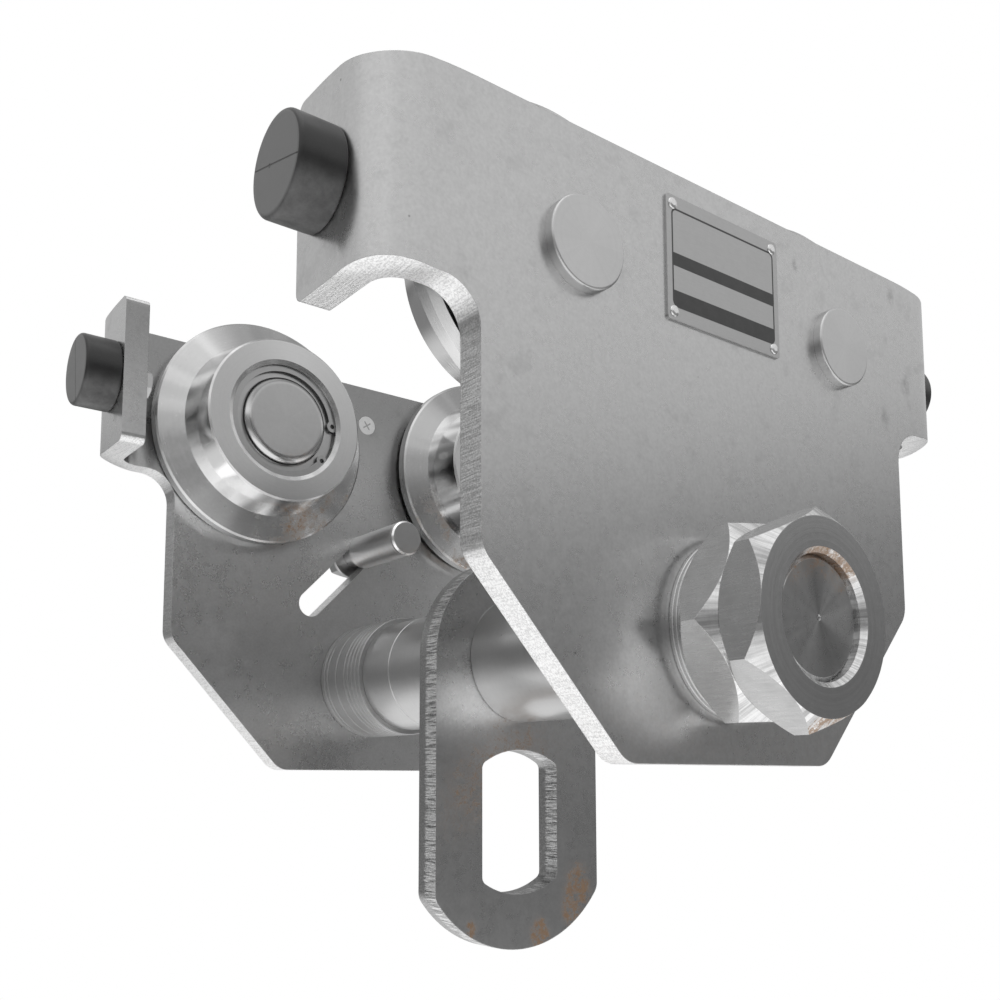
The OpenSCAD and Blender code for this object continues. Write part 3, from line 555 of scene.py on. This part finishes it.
def nameplate():
    """Bare metal plate with a thin rounded frame line and two dark bands."""
    s = Finish("nameplate_aluminium", bevel=0.2 * MM)
    middle = (TAG_LOW + TAG_HIGH) / 2
    wide = (TAG_HIGH.x - TAG_LOW.x) / 2
    tall = TAG_HIGH.z - TAG_LOW.z
    down = TAG_HIGH.z - s.z
    u = abs(s.x - middle.x)
    side_margin, top_margin, low_margin = 3.2 * MM, 5.6 * MM, 5.9 * MM
    inner_w = wide - side_margin
    inner_h = (tall - top_margin - low_margin) / 2
    v = abs(down - top_margin - inner_h)
    corner = 2.5 * MM
    du = (u - (inner_w - corner)).max(0.0)
    dv = (v - (inner_h - corner)).max(0.0)
    outside = s.math("SQRT", du * du + dv * dv) - corner
    frame_line = abs(outside).under(0.4 * MM, 0.12 * MM)
    upper_band = abs(down - 0.512 * tall).under(0.052 * tall, 0.12 * MM)
    lower_band = abs(down - 0.825 * tall).under(0.065 * tall, 0.12 * MM)
    ink = frame_line.max(upper_band.max(lower_band) * outside.under(0.0, 0.12 * MM))
    grain = s.noise((6 * MM, 6 * MM, 0.4 * MM), 3.0, 0.7)
    wear = s.noise(4 * MM, 3.0, 0.6)
    s.grey(s.blend(ink, (wear * 0.14 + grain * 0.14 + 0.80) * 0.50, wear * 0.03 + 0.085))
    s.roughness = s.blend(ink, wear * 0.1 + 0.27, 0.42)
    s.bump(ink, 0.05 * MM)
    return s.done()


def plug():
    """Pale plug with two crossed marks."""
    s = Finish("plug_steel", bevel=0.3 * MM)
    u = s.x - (PLUG_LOW.x + PLUG_HIGH.x) / 2
    v = s.z - (PLUG_LOW.z + PLUG_HIGH.z) / 2
    strokes = [abs(along).under(0.5 * MM, 0.2 * MM) for along in (u + v * 0.7, v - u * 0.7)]
    mark = strokes[0].max(strokes[1]) * s.math("SQRT", u * u + v * v).under(3 * MM, 0.4 * MM)
    wear = s.noise(1.5 * MM, 3.0, 0.6)
    s.grey(wear * 0.2 + 0.74 - mark * 0.4)
    s.roughness = wear * 0.1 + 0.45
    return s.done()


def wheel_pin():
    """Wheel pins, with shallower rings than most of the other turned pieces."""
    return plain_turned("wheel_pin_steel", WHEEL_AT, 0.60, 0.32, anisotropic=0.2, depth=0.004 * MM)


FINISHES = {
    "side_plate": side_plate,
    "hanger_plate": hanger_plate,
    "axle": axle,
    "nut": nut,
    "nut_washer": lambda: plain_turned("nut_washer_steel", AXLE_AT, 0.60, 0.28),
    "stack_washer": stack_washer,
    "spacer": lambda: plain_turned("spacer_steel", AXLE_AT, 0.54, 0.30, anisotropic=0.3),
    "wheel": wheel,
    "wheel_pin": wheel_pin,
    "bearing": lambda: plain_turned("bearing_steel", WHEEL_AT, 0.50, 0.22),
    "ball_cage": lambda: simple_steel("ball_cage_steel", 0.6, 0.15),
    "circlip": circlip,
    "dust_cap": dust_cap,
    "pin_spacer": lambda: simple_steel("pin_spacer_steel", 0.5, 0.3),
    "bumper": rubber,
    "bolt": lambda: simple_steel("bolt_steel", 0.55, 0.3),
    "guide_pin": guide_pin,
    "nameplate": nameplate,
    "rivet": lambda: simple_steel("rivet_aluminium", 0.80, 0.25),
    "plug": plug,
}


def dress():
    """Gives every node of the frame the finish of its slot."""
    made = {}
    for node in NODES.values():
        for holder in node.material_slots:
            name = holder.material.name
            if name in FINISHES:
                made[name] = made.get(name) or FINISHES[name]()
                holder.material = made[name]


# Camera at the photograph's place, for a picture of 1000 x 1000 pixels
CAMERA_AT = Vector((-332.2, -419.4, -147.2)) * MM
CAMERA_YAW = math.radians(36.96)
CAMERA_PITCH = math.radians(6.26)
FOCAL_PX = 1062.0
IMAGE_PX = 1000
CENTRE_PX = (480, 664)
SENSOR_MM = 36.0
CLIP_START = 0.01


def add_camera():
    """Looks from the photograph's place, with the lens shifted to its picture."""
    data = bpy.data.cameras.new("camera")
    data.sensor_width = SENSOR_MM
    data.lens = FOCAL_PX / IMAGE_PX * SENSOR_MM
    data.shift_x = 0.5 - CENTRE_PX[0] / IMAGE_PX
    data.shift_y = CENTRE_PX[1] / IMAGE_PX - 0.5
    data.clip_start = CLIP_START
    camera = bpy.data.objects.new("camera", data)
    bpy.context.scene.collection.objects.link(camera)
    level = math.cos(CAMERA_PITCH)
    forward = Vector((math.sin(CAMERA_YAW) * level, math.cos(CAMERA_YAW) * level, math.sin(CAMERA_PITCH)))
    camera.location = CAMERA_AT
    camera.rotation_mode = "QUATERNION"
    camera.rotation_quaternion = forward.to_track_quat("-Z", "Y")
    bpy.context.scene.camera = camera


# Studio: a pale sky and a pale ground with a darker horizon between them, brighter towards the front
SKY = 0.74
GROUND = 0.62
GROUND_START, GROUND_END = -0.34, -0.15
HORIZON = 0.21
HORIZON_START, HORIZON_END = 0.20, 0.33
SIDE_GAIN = 0.15
SIDE_DIRECTION = math.radians(-110)
LAMPS = {
    "left_lamp": {"at": (-1.6, -0.7, 1.1), "size": (1.8, 1.8), "radiance": 0.10},
    "top_lamp": {"at": (-0.3, -0.4, 1.9), "size": (1.6, 1.6), "radiance": 0.55},
}
FLOOR_Z = -0.6
FLOOR_R = 1.2
FLOOR_GLOW = 0.45
FLOOR_COLOUR = (0.86, 0.86, 0.86, 1)
WHITE = (1, 1, 1, 1)


def add_lamps():
    """Two soft weak lamps, which point at the object."""
    for name, lamp in LAMPS.items():
        data = bpy.data.lights.new(name, "AREA")
        data.shape = "RECTANGLE"
        data.size, data.size_y = lamp["size"]
        data.energy = lamp["radiance"] * math.pi * data.size * data.size_y
        made = bpy.data.objects.new(name, data)
        bpy.context.scene.collection.objects.link(made)
        made.location = lamp["at"]
        made.rotation_mode = "QUATERNION"
        made.rotation_quaternion = (-made.location).to_track_quat("-Z", "Y")


def add_world():
    """White to the camera. To the object, a pale sky and ground with a darker horizon between them."""
    world = bpy.data.worlds.new("studio")
    world.use_nodes = True
    bpy.context.scene.world = world
    g = Graph(world.node_tree)
    x, y, z = g.split(g.node("ShaderNodeTexCoord").outputs["Generated"])
    sky = g.tree.nodes["Background"]
    sky.inputs["Color"].default_value = WHITE
    side = x * math.cos(SIDE_DIRECTION) + y * math.sin(SIDE_DIRECTION)
    above = z.ramp(HORIZON_START, HORIZON_END, HORIZON, SKY)
    below = z.ramp(GROUND_START, GROUND_END, GROUND, HORIZON)
    g.link(above.max(below) * (side * SIDE_GAIN + 1.0), sky.inputs["Strength"])
    white = g.node("ShaderNodeBackground")
    white.inputs["Color"].default_value = WHITE
    path = g.node("ShaderNodeLightPath")
    seen = Value(g, path.outputs["Is Camera Ray"]).max(Value(g, path.outputs["Is Transmission Ray"]))
    shown = g.mix(seen, sky.outputs[0], white.outputs[0])
    g.link(shown, g.tree.nodes["World Output"].inputs["Surface"])


def add_floor():
    """Pale floor that is near white where the object leaves no shadow."""
    place = (0, 0, FLOOR_Z)
    bpy.ops.mesh.primitive_circle_add(vertices=96, radius=FLOOR_R, fill_type="NGON", location=place)
    floor = bpy.context.object
    floor.name = "floor"
    material = bpy.data.materials.new("floor")
    material.use_nodes = True
    floor.data.materials.append(material)
    g = Graph(material.node_tree)
    surface = g.tree.nodes["Principled BSDF"]
    surface.inputs["Base Color"].default_value = FLOOR_COLOUR
    surface.inputs["Roughness"].default_value = 1.0
    surface.inputs["Specular IOR Level"].default_value = 0.0
    path = g.node("ShaderNodeLightPath")
    seen = Value(g, path.outputs["Is Camera Ray"]).max(Value(g, path.outputs["Is Glossy Ray"]))
    seen = seen.max(Value(g, path.outputs["Is Transmission Ray"]))
    surface.inputs["Emission Color"].default_value = WHITE
    g.link(seen * FLOOR_GLOW, surface.inputs["Emission Strength"])


dress()
add_camera()
add_lamps()
add_world()
add_floor()
bpy.context.scene.view_settings.view_transform = "Standard"
